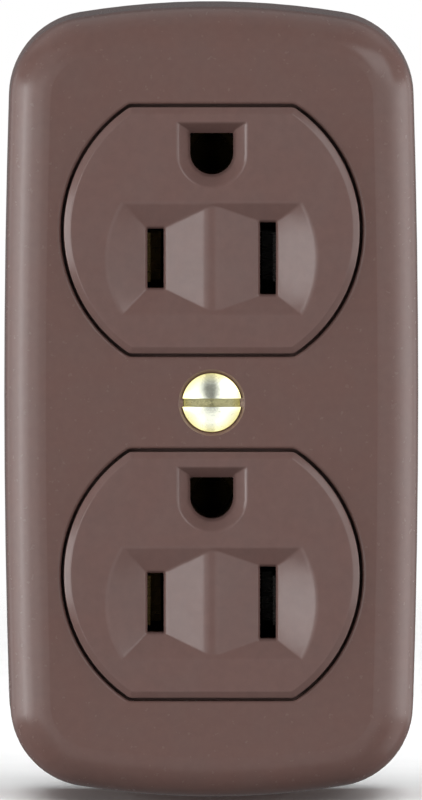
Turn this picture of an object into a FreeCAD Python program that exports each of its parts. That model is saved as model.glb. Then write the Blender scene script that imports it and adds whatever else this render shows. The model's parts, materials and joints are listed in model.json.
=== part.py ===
import FreeCAD, Part
import math
import os
import Sketcher

# Surface-mounted duplex wall outlet, ground holes up, in millimetres.
# +X is to the right, +Z is up and the front faces -Y. The wall is the plane y = 0, and the origin is the
# centre of the wall face. "Depth" is the distance in front of the wall, so y = -depth.

# ---------------------------------------------------------------- driving dimensions

SIZES = {
    # cover: a deep shell with bowed sides, a flat front and a round front edge
    "cover_width": 47.5,
    "cover_height": 90.3,
    "cover_depth": 32.2,
    "cover_wall": 2.3,
    "side_bow": 1100,
    "end_bow": 93,
    "corner_round": 9.7,
    "draft_inset": 0.5,
    "front_edge_round": 4.6,
    "cavity_edge_round": 2.4,
    "opening_round": 17.05,
    "opening_flat": 14.25,
    "opening_corner_round": 1.3,
    "opening_lip_round": 0.4,
    "rib_width": 1.6,
    "rib_reach": 1.4,
    "rib_row": 11,
    "rib_root": 0.5,
    "knockout_width": 13,
    "knockout_height": 9,
    "score_width": 0.8,
    "score_depth": 1.2,
    # the two outlet faces on their common flange
    "outlet_pitch": 38.9,
    "face_depth": 33,
    "face_round": 16.7,
    "face_flat": 13.9,
    "face_corner_round": 1,
    "face_band_width": 0.75,
    "face_band_drop": 0.48,
    "flange_back": 26.7,
    "flange_front": 29.4,
    "flange_width": 34.5,
    "flange_height": 70,
    "flange_corner": 3,
    "well_round": 4.2,
    # blade slots, their hoppers and the ground holes
    "slot_drop": 3.175,
    "slot_reach": 6.35,
    "hot_slot_width": 1.84,
    "hot_slot_height": 6.7,
    "neutral_slot_width": 1.8,
    "neutral_slot_height": 8.14,
    "slot_lip": 0.2,
    "slot_lip_depth": 0.5,
    "hopper_round": 11.875,
    "hopper_flat": 6.3,
    "hopper_depth": 1.3,
    "ridge_width": 1.13,
    "ridge_drop": 0.25,
    "ground_rise": 8.73,
    "ground_round": 2.43,
    "ground_top": 2.25,
    "ground_lip_round": 2.7,
    "ground_lip_top": 2.65,
    "ground_lip_depth": 0.7,
    "funnel_round": 3.87,
    "funnel_top": 3.45,
    "funnel_depth": 1.3,
    # body behind the faces
    "body_back": 7.5,
    "body_width": 27,
    "body_height": 67,
    "body_corner": 1.5,
    "chamber_reach": 6.45,
    "chamber_width": 5.1,
    "chamber_height": 9.6,
    "chamber_floor": 11,
    "cup_chamber": 7.4,
    "cup_chamber_floor": 9.7,
    "nut_pocket": 8.2,
    "nut_pocket_floor": 23.5,
    "bridge_notch_height": 6.2,
    "bridge_notch_floor": 23.6,
    # hot and neutral strips
    "strip_thick": 0.8,
    "strip_recess": 0.9,
    "strip_clearance": 0.3,
    "strip_front": 21,
    "strip_back": 11,
    "strip_top": 20.5,
    "strip_bottom": 26.5,
    "bridge_height": 5.6,
    "leaf_thick": 0.6,
    "leaf_gap": 1.2,
    "leaf_back": 12,
    "leaf_front": 24.8,
    "leaf_flare": 0.7,
    "leaf_mouth": 2,
    "break_off_gap": 3,
    "break_off_neck": 2.4,
    # terminal screws
    "terminal_row": 9.5,
    "terminal_depth": 16,
    "terminal_shank": 2.08,
    "terminal_hole": 2.2,
    "terminal_length": 5.2,
    "terminal_head": 3.9,
    "terminal_head_height": 2.3,
    "terminal_head_round": 0.6,
    "terminal_tip": 0.6,
    "driver_slot_width": 1.1,
    "driver_slot_depth": 1.1,
    "thread_clearance": 0.04,
    # grounding strap, cups and rivets
    "strap_thick": 1,
    "strap_width": 8,
    "ground_screw_side": 8.5,
    "ground_screw_depth": 13,
    "ground_tab_width": 8,
    "ground_tab_front": 18,
    "ground_tab_gap": 0.2,
    "strap_foot": 5,
    "cup_inner": 2.3,
    "cup_wall": 0.6,
    "cup_front": 24,
    "cup_slit": 1.4,
    "cup_slit_floor": 3,
    "rivet_shank": 1.1,
    "rivet_head": 1.9,
    "rivet_head_height": 0.6,
    # cover screw, its retaining washer and its nut
    "cover_screw_shank": 1.7,
    "cover_screw_tip": 19.5,
    "cover_screw_point": 0.6,
    "cover_screw_room": 1,
    "cover_screw_head": 3.4,
    "cover_screw_seat_angle": 41,
    "cover_screw_crown": 0.85,
    "cover_screw_sink": 0.27,
    "cover_screw_slot_width": 0.97,
    "cover_screw_slot_depth": 1.1,
    "cover_hole": 2,
    "countersink": 3.65,
    "countersink_bevel": 0.12,
    "nut_across": 7.9,
    "nut_thick": 2.8,
    "washer_round": 3.8,
    "washer_thick": 0.8,
    "washer_back": 27,
    # base plate and the screws that hold base, body and faces together
    "base_gap": 0.3,
    "base_floor": 2.5,
    "base_lip": 1.5,
    "base_lip_front": 6,
    "base_notch_width": 16,
    "base_notch_height": 12,
    "base_notch_middle": 41,
    "standoff_round": 3.5,
    "mount_pitch": 76.2,
    "mount_hole": 2.25,
    "cable_entry_width": 20,
    "cable_entry_height": 12,
    "assembly_side": 9.5,
    "assembly_rise": 30.2,
    "assembly_shank": 1.45,
    "assembly_head": 2.7,
    "assembly_head_height": 1.7,
    "assembly_head_gap": 0.2,
    "assembly_seat": 2,
    "assembly_tip": 29.5,
    "assembly_tip_gap": 0.5,
    "assembly_head_round": 0.5,
    "cross_length": 3,
    "cross_width": 0.7,
    "cross_depth": 1,
}

# heights of the two outlets, as expressions
OUTLETS = {"upper": "dim.outlet_pitch / 2", "lower": "-dim.outlet_pitch / 2"}
# which side each blade's strip is on: -1 is the left, seen from the front
HOT = -1
NEUTRAL = 1

doc = FreeCAD.newDocument("duplex_wall_outlet")
table = doc.addObject("Spreadsheet::Sheet", "dim")


def fill_table():
    """One row a dimension: its name in column A, its value in column B under an alias of that name."""
    for row, (name, value) in enumerate(SIZES.items(), start=1):
        table.set(f"A{row}", name)
        table.set(f"B{row}", str(value))
        table.setAlias(f"B{row}", name)
    doc.recompute()


fill_table()


# ---------------------------------------------------------------- sketching and feature helpers

def number(expression):
    """Value that an expression of table names has now, to start a sketch close to its solved shape."""
    return float(table.evalExpression(expression))


def new_body(label):
    body = doc.addObject("PartDesign::Body", label)
    body.Label = label
    body.Placement = FreeCAD.Placement()
    return body


def sketch_on(body, plane, right="0", up="0", out="0"):
    """Sketch parallel to an origin plane, with its own origin moved right, up and out along the normal."""
    sketch = body.newObject("Sketcher::SketchObject", body.Label + "_sketch")
    support = [feature for feature in body.Origin.OriginFeatures if feature.Role == plane][0]
    sketch.AttachmentSupport = (support, [""])
    sketch.MapMode = "FlatFace"
    for letter, expression in zip("xyz", (right, up, out)):
        sketch.setExpression(f"AttachmentOffset.Base.{letter}", expression)
    return sketch


def bind(sketch, kind, *items):
    """Constraint whose last item is an expression of table names."""
    *where, expression = items
    index = sketch.addConstraint(Sketcher.Constraint(kind, *where, number(expression)))
    sketch.setExpression(f"Constraints[{index}]", expression)


def place(sketch, curve, end, right, up):
    """Fix one end of a curve at (right, up) from the sketch's origin."""
    if right == "0":
        sketch.addConstraint(Sketcher.Constraint("PointOnObject", curve, end, -2))
    else:
        bind(sketch, "DistanceX", -1, 1, curve, end, right)
    if up == "0":
        sketch.addConstraint(Sketcher.Constraint("PointOnObject", curve, end, -1))
    else:
        bind(sketch, "DistanceY", -1, 1, curve, end, up)


def join(sketch, curves):
    """Close a ring of curves, the end of each on the start of the next."""
    for here, following in zip(curves, curves[1:] + curves[:1]):
        sketch.addConstraint(Sketcher.Constraint("Coincident", *here[::2], *following[:2]))


def polygon(sketch, corners):
    """Closed outline of straight lines through corners given as pairs of expressions."""
    points = [FreeCAD.Vector(number(right), number(up), 0) for right, up in corners]
    first = sketch.GeometryCount
    for start, end in zip(points, points[1:] + points[:1]):
        sketch.addGeometry(Part.LineSegment(start, end), False)
    join(sketch, [(first + i, 1, 2) for i in range(len(points))])
    for i, (right, up) in enumerate(corners):
        place(sketch, first + i, 1, right, up)


def rectangle(sketch, width, height):
    """Rectangle centred on the sketch's origin."""
    right, up = f"({width}) / 2", f"({height}) / 2"
    polygon(sketch, [(f"-{right}", f"-{up}"), (right, f"-{up}"), (right, up), (f"-{right}", up)])


def circle(sketch, radius):
    """Circle about the sketch's origin."""
    curve = sketch.addGeometry(Part.Circle(FreeCAD.Vector(), FreeCAD.Vector(0, 0, 1), number(radius)), False)
    sketch.addConstraint(Sketcher.Constraint("Coincident", curve, 3, -1, 1))
    bind(sketch, "Radius", curve, radius)


def arc(sketch, radius, start, end, right="0", up="0"):
    """Arc about (right, up), counter-clockwise between two starting guesses of its angles, in radians."""
    centre = FreeCAD.Vector(number(right), number(up), 0)
    ring = Part.Circle(centre, FreeCAD.Vector(0, 0, 1), number(radius))
    curve = sketch.addGeometry(Part.ArcOfCircle(ring, start, end), False)
    bind(sketch, "Radius", curve, radius)
    place(sketch, curve, 3, right, up)
    return curve


def line(sketch, start, end):
    """Straight line between two (right, up) pairs of numbers; its ends are fixed by what it joins."""
    return sketch.addGeometry(Part.LineSegment(FreeCAD.Vector(*start, 0), FreeCAD.Vector(*end, 0)), False)


def flatted_circle(sketch, radius, flat):
    """Circle about the origin, cut off at +flat and -flat."""
    reach = math.sqrt(number(radius) ** 2 - number(flat) ** 2)
    turn = math.asin(number(flat) / number(radius))
    right = arc(sketch, radius, -turn, turn)
    top = line(sketch, (reach, number(flat)), (-reach, number(flat)))
    left = arc(sketch, radius, math.pi - turn, math.pi + turn)
    bottom = line(sketch, (-reach, -number(flat)), (reach, -number(flat)))
    join(sketch, [(curve, 1, 2) for curve in (right, top, left, bottom)])
    bind(sketch, "DistanceY", -1, 1, right, 1, f"-({flat})")
    bind(sketch, "DistanceY", -1, 1, right, 2, flat)
    sketch.addConstraint(Sketcher.Constraint("Horizontal", top))
    sketch.addConstraint(Sketcher.Constraint("Horizontal", bottom))


def arched(sketch, radius, top):
    """Half circle about the origin, below it, with upright sides that rise to a flat top."""
    reach, rise = number(radius), number(top)
    bottom = arc(sketch, radius, math.pi, 2 * math.pi)
    right = line(sketch, (reach, 0), (reach, rise))
    over = line(sketch, (reach, rise), (-reach, rise))
    left = line(sketch, (-reach, rise), (-reach, 0))
    join(sketch, [(curve, 1, 2) for curve in (bottom, right, over, left)])
    sketch.addConstraint(Sketcher.Constraint("PointOnObject", bottom, 1, -1))
    sketch.addConstraint(Sketcher.Constraint("PointOnObject", bottom, 2, -1))
    sketch.addConstraint(Sketcher.Constraint("Vertical", right))
    sketch.addConstraint(Sketcher.Constraint("Vertical", left))
    sketch.addConstraint(Sketcher.Constraint("Horizontal", over))
    bind(sketch, "DistanceY", -1, 1, over, 1, top)


def hopper_mouth(sketch, side, start, radius, flat):
    """One side of a flatted circle, from an upright start near its middle out to its round edge."""
    inner, rise = side * number(start), number(flat)
    reach = side * math.sqrt(number(radius) ** 2 - rise ** 2)
    turn = math.asin(rise / number(radius))
    middle = 0 if side > 0 else math.pi
    outer = arc(sketch, radius, middle - turn, middle + turn)
    far = line(sketch, (reach, side * rise), (inner, side * rise))
    upright = line(sketch, (inner, side * rise), (inner, -side * rise))
    near = line(sketch, (inner, -side * rise), (reach, -side * rise))
    join(sketch, [(curve, 1, 2) for curve in (outer, far, upright, near)])
    bind(sketch, "DistanceY", -1, 1, outer, 2, f"{side} * {flat}")
    bind(sketch, "DistanceY", -1, 1, outer, 1, f"{-side} * {flat}")
    sketch.addConstraint(Sketcher.Constraint("Horizontal", far))
    sketch.addConstraint(Sketcher.Constraint("Horizontal", near))
    sketch.addConstraint(Sketcher.Constraint("Vertical", upright))
    bind(sketch, "DistanceX", -1, 1, upright, 1, f"{side} * {start}")


def corner_arc(sketch, radius, x, y, start, end):
    """Arc whose centre is only a starting guess; the tangents to its neighbours fix it."""
    ring = Part.Circle(FreeCAD.Vector(x, y, 0), FreeCAD.Vector(0, 0, 1), number(radius))
    curve = sketch.addGeometry(Part.ArcOfCircle(ring, start, end), False)
    bind(sketch, "Radius", curve, radius)
    return curve


def bowed_outline(sketch, inset):
    """The cover's outline: four shallow arcs joined by round corners, all moved inwards by inset."""
    half_width = f"dim.cover_width / 2 - ({inset})"
    half_height = f"dim.cover_height / 2 - ({inset})"
    side, end = f"dim.side_bow - ({inset})", f"dim.end_bow - ({inset})"
    corner = f"dim.corner_round - ({inset})"
    side_centre, end_centre = f"{half_width} - ({side})", f"{half_height} - ({end})"
    to_side, to_end = number(side) - number(corner), number(end) - number(corner)
    across, along = -number(side_centre), -number(end_centre)
    # corner centre: where circles about the side's centre and the end's centre meet
    apart = math.hypot(across, along)
    lean = math.acos((apart ** 2 + to_side ** 2 - to_end ** 2) / (2 * apart * to_side))
    side_turn = lean - math.atan2(along, across)
    corner_x = to_side * math.cos(side_turn) - across
    corner_y = to_side * math.sin(side_turn)
    end_turn = math.atan2(corner_y + along, corner_x)
    curves = []
    for half, sign in ((0, 1), (math.pi, -1)):
        middle = (f"{sign} * ({side_centre})", "0")
        curves.append(arc(sketch, side, half - side_turn, half + side_turn, *middle))
        curves.append(corner_arc(sketch, corner, sign * corner_x, sign * corner_y,
                                 half + side_turn, half + end_turn))
        middle = ("0", f"{sign} * ({end_centre})")
        curves.append(arc(sketch, end, half + end_turn, half + math.pi - end_turn, *middle))
        curves.append(corner_arc(sketch, corner, -sign * corner_x, sign * corner_y,
                                 half + math.pi - end_turn, half + math.pi - side_turn))
    for here, following in zip(curves, curves[1:] + curves[:1]):
        sketch.addConstraint(Sketcher.Constraint("Tangent", here, 2, following, 1))


def pad(body, sketch, length):
    feature = body.newObject("PartDesign::Pad", body.Label + "_pad")
    feature.Profile = sketch
    feature.setExpression("Length", length)
    return feature


def cut(body, sketch, length):
    """Pocket that runs along the sketch's normal, so a profile lies at the cut's end nearer the wall."""
    doc.recompute()
    before = body.Shape.Volume
    feature = body.newObject("PartDesign::Pocket", body.Label + "_cut")
    feature.Profile = sketch
    feature.Reversed = True
    feature.setExpression("Length", length)
    doc.recompute()
    if not body.Shape.Volume < before:
        raise RuntimeError(f"a cut took nothing from {body.Label}")
    return feature


def add_between(body, draw, back, front, right="0", up="0"):
    """Pad whose profile draw(sketch) makes, centred on (right, up), between two depths."""
    sketch = sketch_on(body, "XZ_Plane", right, up, back)
    draw(sketch)
    return pad(body, sketch, f"({front}) - ({back})")


def cut_between(body, draw, back, front, right="0", up="0"):
    """The same as add_between, taken away."""
    sketch = sketch_on(body, "XZ_Plane", right, up, back)
    draw(sketch)
    return cut(body, sketch, f"({front}) - ({back})")


def turn(body, corners, kind="Revolution"):
    """Solid or groove turned about the y axis; corners are (radius, y) pairs of expressions."""
    sketch = sketch_on(body, "XY_Plane")
    polygon(sketch, corners)
    feature = body.newObject(f"PartDesign::{kind}", body.Label + "_turned")
    feature.Profile = sketch
    feature.ReferenceAxis = (sketch, ["V_Axis"])
    feature.Angle = 360
    return feature


def dress_edges(body, kind, wanted):
    """Fillet or Chamfer on every edge that wanted(edge) accepts."""
    doc.recompute()
    names = [f"Edge{i}" for i, edge in enumerate(body.Shape.Edges, start=1) if wanted(edge)]
    if not names:
        raise RuntimeError(f"no edge to dress on {body.Label}")
    last = body.Tip
    feature = body.newObject("PartDesign::" + kind, body.Label + "_" + kind.lower())
    feature.Base = (last, names)
    return feature


def round_edges(body, wanted, radius):
    feature = dress_edges(body, "Fillet", wanted)
    feature.setExpression("Radius", radius)
    doc.recompute()
    return feature


def bevel_edges(body, wanted, across, down):
    """Slope that starts some way across the face inside the edges and ends some way down outside it."""
    feature = dress_edges(body, "Chamfer", wanted)
    feature.ChamferType = "Two distances"
    feature.setExpression("Size", down)
    feature.setExpression("Size2", across)
    doc.recompute()
    return feature


def at_depth(edge, depth):
    """Whether an edge lies flat at a depth in front of the wall."""
    box = edge.BoundBox
    return abs(box.YMin + number(depth)) < 0.01 and abs(box.YMax + number(depth)) < 0.01


def upright_corner(edge, half_width, half_height):
    """Whether an edge runs straight out from the wall at a corner of a centred rectangle."""
    box = edge.BoundBox
    beside = abs(abs(box.XMin) - number(half_width)) < 0.01 and box.XLength < 0.01
    above = abs(abs(box.ZMin) - number(half_height)) < 0.01 and box.ZLength < 0.01
    return beside and above and box.YLength > 0.01


# ---------------------------------------------------------------- cover

def make_cover():
    cover = new_body("cover")
    draft_and_wall = "dim.draft_inset + dim.cover_wall"
    loft = cover.newObject("PartDesign::AdditiveLoft", "cover_shell")
    back, front = sketch_on(cover, "XZ_Plane"), sketch_on(cover, "XZ_Plane", out="dim.cover_depth")
    bowed_outline(back, "0")
    bowed_outline(front, "dim.draft_inset")
    loft.Profile = back
    loft.Sections = [front]
    loft.Ruled = True
    round_edges(cover, lambda edge: at_depth(edge, "dim.cover_depth"), "dim.front_edge_round")
    cavity_front = "dim.cover_depth - dim.cover_wall"
    cut_between(cover, lambda sketch: bowed_outline(sketch, draft_and_wall), "0", cavity_front)
    round_edges(cover, lambda edge: at_depth(edge, cavity_front), "dim.cavity_edge_round")
    for height in OUTLETS.values():
        cut_between(cover, lambda sketch: flatted_circle(sketch, "dim.opening_round", "dim.opening_flat"),
                    cavity_front, "dim.cover_depth", up=height)
    round_edges(cover, opening_corner, "dim.opening_corner_round")
    round_edges(cover, opening_lip, "dim.opening_lip_round")
    make_screw_seat(cover)
    add_ribs(cover, cavity_front)
    score_knockouts(cover)
    return cover


def within_opening(box):
    """Whether a box lies within the width and height that the two openings take up."""
    reach = number("dim.opening_round") + 0.01
    rise = number("dim.outlet_pitch / 2 + dim.opening_flat") + 0.01
    return max(abs(box.XMin), abs(box.XMax)) < reach and max(abs(box.ZMin), abs(box.ZMax)) < rise


def opening_corner(edge):
    """Whether an edge runs through the front wall where an opening's round side meets its flat."""
    box = edge.BoundBox
    straight_out = box.XLength < 0.01 and box.ZLength < 0.01 and box.YLength > 1
    return straight_out and within_opening(box)


def opening_lip(edge):
    return at_depth(edge, "dim.cover_depth") and within_opening(edge.BoundBox)


def make_screw_seat(cover):
    """Countersunk hole for the cover screw, turned about the y axis."""
    cone = "(dim.countersink - dim.cover_hole) / tan(dim.cover_screw_seat_angle)"
    turn(cover, [
        ("0", "-dim.cover_depth - 1"),
        ("dim.countersink + dim.countersink_bevel", "-dim.cover_depth - 1"),
        ("dim.countersink + dim.countersink_bevel", "-dim.cover_depth"),
        ("dim.countersink", "-dim.cover_depth + dim.countersink_bevel"),
        ("dim.cover_hole", f"-dim.cover_depth + {cone}"),
        ("dim.cover_hole", "-dim.cover_depth + dim.cover_wall + 1"),
        ("0", "-dim.cover_depth + dim.cover_wall + 1"),
    ], kind="Groove")


def add_ribs(cover, cavity_front):
    """Four ribs inside the long walls, whose back ends rest on the base plate's lip."""
    wall_face = "dim.cover_width / 2 - dim.draft_inset - dim.cover_wall"
    # each rib's root goes a little into the walls, past the bow of their inner faces
    for side in (-1, 1):
        for row in (-1, 1):
            middle = f"{side} * ({wall_face} - (dim.rib_reach - dim.rib_root) / 2)"
            reach = "dim.rib_reach + dim.rib_root"
            add_between(cover, lambda sketch: rectangle(sketch, reach, "dim.rib_width"),
                        "dim.base_lip_front", f"{cavity_front} + dim.rib_root",
                        middle, f"{row} * dim.rib_row")


def score_knockouts(cover):
    """Thin lines inside the top and bottom walls, round the panels that break out for a cable."""
    reach = "(dim.cover_height / 2 - dim.draft_inset - dim.cover_wall)"
    for end in (-1, 1):
        middle = f"{end} * {reach}"
        for side in (-1, 1):
            cut_between(cover, lambda sketch: rectangle(sketch, "dim.score_width", "2 * dim.score_depth"),
                        "0", "dim.knockout_height", f"{side} * dim.knockout_width / 2", middle)
        cut_between(cover, lambda sketch: rectangle(sketch, "dim.knockout_width + dim.score_width",
                                                    "2 * dim.score_depth"),
                    "dim.knockout_height", "dim.knockout_height + dim.score_width", "0", middle)


# ---------------------------------------------------------------- outlet faces

def make_faces():
    faces = new_body("receptacle_face")
    add_between(faces, lambda sketch: rectangle(sketch, "dim.flange_width", "dim.flange_height"),
                "dim.flange_back", "dim.flange_front")
    round_edges(faces, lambda edge: upright_corner(edge, "dim.flange_width / 2", "dim.flange_height / 2"),
                "dim.flange_corner")
    for height in OUTLETS.values():
        add_between(faces, lambda sketch: flatted_circle(sketch, "dim.face_round", "dim.face_flat"),
                    "dim.flange_front", "dim.face_depth", up=height)
    round_edges(faces, face_corner, "dim.face_corner_round")
    bevel_edges(faces, lambda edge: at_depth(edge, "dim.face_depth"), "dim.face_band_width",
                "dim.face_band_drop")
    for height in OUTLETS.values():
        cut_blade_slots(faces, height)
        cut_ground_hole(faces, height)
    cut_between(faces, lambda sketch: circle(sketch, "dim.well_round"), "dim.flange_back", "dim.flange_front")
    for side in (-1, 1):
        cut_between(faces, lambda sketch: circle(sketch, "dim.assembly_shank + dim.thread_clearance"),
                    "dim.flange_back", "dim.assembly_tip + dim.assembly_tip_gap",
                    f"{side} * dim.assembly_side", f"{side} * dim.assembly_rise")
    return faces


def face_corner(edge):
    """Whether an edge runs straight out to the front of a face, where its round side meets its flat."""
    box = edge.BoundBox
    straight_out = box.XLength < 0.01 and box.ZLength < 0.01
    return straight_out and abs(box.YMin + number("dim.face_depth")) < 0.01


def funnel(body, mouth, throat, height, start, end):
    """Loft taken away between a mouth and a throat, at two distances below the face."""
    outer = sketch_on(body, "XZ_Plane", up=height, out=f"dim.face_depth - {start}")
    inner = sketch_on(body, "XZ_Plane", up=height, out=f"dim.face_depth - {end}")
    mouth(outer)
    throat(inner)
    doc.recompute()
    before = body.Shape.Volume
    loft = body.newObject("PartDesign::SubtractiveLoft", body.Label + "_funnel")
    loft.Profile = outer
    loft.Sections = [inner]
    loft.Ruled = True
    doc.recompute()
    if not body.Shape.Volume < before:
        raise RuntimeError(f"a funnel took nothing from {body.Label}")


def slot_outline(sketch, side, width, height):
    """A blade slot's rectangle, at its place beside the sketch's origin, corners in the hopper's order."""
    near, far = f"{side} * (dim.slot_reach - {width} / 2)", f"{side} * (dim.slot_reach + {width} / 2)"
    rise = f"{side} * {height} / 2"
    polygon(sketch, [(far, f"-({rise})"), (far, rise), (near, rise), (near, f"-({rise})")])


def mouth_start(width):
    """Where a hopper's inner slope, carried on over the ridge, comes out at the face, from the middle."""
    run = f"(dim.slot_reach - {width} / 2 - dim.ridge_width / 2)"
    return f"(dim.ridge_width / 2 - dim.ridge_drop * {run} / (dim.hopper_depth - dim.ridge_drop))"


def cut_blade_slots(faces, height):
    """Two lipped slots, each at the bottom of a four-sided hopper, with a low ridge between the hoppers."""
    row = f"{height} - dim.slot_drop"
    lip_end = "(dim.hopper_depth + dim.slot_lip_depth)"
    for side, name in ((HOT, "hot"), (NEUTRAL, "neutral")):
        width, tall = f"dim.{name}_slot_width", f"dim.{name}_slot_height"
        wide, high = f"({width} + 2 * dim.slot_lip)", f"({tall} + 2 * dim.slot_lip)"
        funnel(faces, lambda sketch: hopper_mouth(sketch, side, mouth_start(wide), "dim.hopper_round",
                                                  "dim.hopper_flat"),
               lambda sketch: slot_outline(sketch, side, wide, high), row, "0", "dim.hopper_depth")
        funnel(faces, lambda sketch: slot_outline(sketch, side, wide, high),
               lambda sketch: slot_outline(sketch, side, width, tall), row, "dim.hopper_depth", lip_end)
        cut_between(faces, lambda sketch: slot_outline(sketch, side, width, tall),
                    "dim.flange_back", f"dim.face_depth - {lip_end}", up=row)
    cut_between(faces, lambda sketch: rectangle(sketch, "dim.ridge_width", "2 * dim.hopper_flat"),
                "dim.face_depth - dim.ridge_drop", "dim.face_depth", up=row)


def cut_ground_hole(faces, height):
    """Lipped ground hole, round below and flat on top, at the bottom of a funnel of the same form."""
    row = f"{height} + dim.ground_rise"
    lip_end = "(dim.funnel_depth + dim.ground_lip_depth)"
    funnel(faces, lambda sketch: arched(sketch, "dim.funnel_round", "dim.funnel_top"),
           lambda sketch: arched(sketch, "dim.ground_lip_round", "dim.ground_lip_top"),
           row, "0", "dim.funnel_depth")
    funnel(faces, lambda sketch: arched(sketch, "dim.ground_lip_round", "dim.ground_lip_top"),
           lambda sketch: arched(sketch, "dim.ground_round", "dim.ground_top"),
           row, "dim.funnel_depth", lip_end)
    cut_between(faces, lambda sketch: arched(sketch, "dim.ground_round", "dim.ground_top"),
                "dim.flange_back", f"dim.face_depth - {lip_end}", up=row)


# ---------------------------------------------------------------- body

def make_receptacle_body():
    body = new_body("receptacle_body")
    front = "dim.flange_back"
    add_between(body, lambda sketch: rectangle(sketch, "dim.body_width", "dim.body_height"),
                "dim.body_back", front)
    round_edges(body, lambda edge: upright_corner(edge, "dim.body_width / 2", "dim.body_height / 2"),
                "dim.body_corner")
    for height in OUTLETS.values():
        for side in (HOT, NEUTRAL):
            row = f"{height} - dim.slot_drop"
            cut_between(body, lambda sketch: rectangle(sketch, "dim.chamber_width", "dim.chamber_height"),
                        "dim.chamber_floor", front, f"{side} * dim.chamber_reach", row)
            notch = "dim.body_width / 2 - dim.chamber_reach"
            cut_between(body, lambda sketch: rectangle(sketch, notch, "dim.bridge_notch_height"),
                        "dim.bridge_notch_floor", front,
                        f"{side} * (dim.body_width / 2 - ({notch}) / 2)", row)
        row = f"{height} + dim.ground_rise"
        cut_between(body, lambda sketch: rectangle(sketch, "dim.cup_chamber", "dim.cup_chamber"),
                    "dim.cup_chamber_floor", front, up=row)
        cut_between(body, lambda sketch: circle(sketch, "dim.rivet_shank + dim.thread_clearance"),
                    "dim.body_back", "dim.cup_chamber_floor", up=row)
    cut_between(body, lambda sketch: rectangle(sketch, "dim.nut_pocket", "dim.nut_pocket"),
                "dim.nut_pocket_floor", front)
    cut_between(body, lambda sketch: circle(sketch, "dim.cover_hole"),
                "dim.cover_screw_tip - dim.cover_screw_room", "dim.nut_pocket_floor")
    for side in (HOT, NEUTRAL):
        cut_strip_seat(body, side)
    for side in (-1, 1):
        cut_between(body, lambda sketch: circle(sketch, "dim.assembly_shank + 2 * dim.thread_clearance"),
                    "dim.body_back", front, f"{side} * dim.assembly_side", f"{side} * dim.assembly_rise")
    bore = sketch_on(body, "XY_Plane", "dim.ground_screw_side", "-dim.ground_screw_depth",
                     "-dim.body_height / 2")
    circle(bore, "dim.terminal_hole")
    cut(body, bore, "dim.terminal_length")
    return body


def cut_strip_seat(body, side):
    """Shallow seat in a long side for the strip, with two holes for the ends of its terminal screws."""
    middle = "(dim.strip_top - dim.strip_bottom) / 2"
    tall = "dim.strip_top + dim.strip_bottom + 2 * dim.strip_clearance"
    cut_between(body, lambda sketch: rectangle(sketch, "2 * dim.strip_recess", tall),
                "dim.strip_back - dim.strip_clearance", "dim.flange_back",
                f"{side} * dim.body_width / 2", middle)
    for row in (-1, 1):
        start = "dim.body_width / 2 - dim.terminal_length - dim.strip_recess"
        if side < 0:
            start = "-dim.body_width / 2"
        bore = sketch_on(body, "YZ_Plane", "-dim.terminal_depth",
                         f"{row} * dim.terminal_row - dim.slot_drop", start)
        circle(bore, "dim.terminal_hole")
        cut(body, bore, "dim.terminal_length + dim.strip_recess")


# ---------------------------------------------------------------- contacts and strips

def make_bus(label, side):
    """Strip beside the body: terminal plate, bridges over the body's edge, and a folded fork per outlet."""
    bus = new_body(label)
    outer = "(dim.body_width / 2 - dim.strip_recess + dim.strip_thick)"
    middle = f"{side} * ({outer} - dim.strip_thick / 2)"
    centre = "(dim.strip_top - dim.strip_bottom) / 2"
    add_between(bus, lambda sketch: rectangle(sketch, "dim.strip_thick", "dim.strip_top + dim.strip_bottom"),
                "dim.strip_back", "dim.strip_front", middle, centre)
    for height in OUTLETS.values():
        add_fork(bus, side, outer, f"{height} - dim.slot_drop")
    for row in (-1, 1):
        bore = sketch_on(bus, "YZ_Plane", "-dim.terminal_depth",
                         f"{row} * dim.terminal_row - dim.slot_drop", "-dim.body_width")
        circle(bore, "dim.terminal_shank + dim.thread_clearance")
        cut(bus, bore, "2 * dim.body_width")
    cut_between(bus, lambda sketch: rectangle(sketch, "4 * dim.strip_thick", "dim.break_off_gap"),
                "dim.strip_back", "dim.strip_front - dim.break_off_neck", middle, "-dim.slot_drop")
    return bus


def add_fork(bus, side, outer, row):
    """One ribbon, seen along z: up past the body's edge, across, back down a leaf, round and up the other."""
    thick, leaf = "dim.strip_thick", "dim.leaf_thick"
    far = f"(dim.slot_reach + dim.leaf_gap / 2 + {leaf})"
    near = f"(dim.slot_reach - dim.leaf_gap / 2 - {leaf})"
    path = [
        (outer, "dim.strip_front - dim.leaf_mouth"),
        (outer, "dim.leaf_front"),
        (f"{far} - {leaf}", "dim.leaf_front"),
        (f"{far} - {leaf}", f"dim.leaf_back + {leaf}"),
        (f"{near} + {leaf}", f"dim.leaf_back + {leaf}"),
        (f"{near} + {leaf}", "dim.leaf_front - dim.leaf_mouth"),
        (f"{near} + {leaf} - dim.leaf_flare", "dim.leaf_front"),
        (f"{near} - dim.leaf_flare", "dim.leaf_front"),
        (near, "dim.leaf_front - dim.leaf_mouth"),
        (near, "dim.leaf_back"),
        (far, "dim.leaf_back"),
        (far, f"dim.leaf_front - {leaf}"),
        (f"{outer} - {thick}", f"dim.leaf_front - {leaf}"),
        (f"{outer} - {thick}", "dim.strip_front - dim.leaf_mouth"),
    ]
    sketch = sketch_on(bus, "XY_Plane", out=f"{row} - dim.bridge_height / 2")
    polygon(sketch, [(f"{side} * ({reach})", f"-({depth})") for reach, depth in path])
    pad(bus, sketch, "dim.bridge_height")


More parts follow.
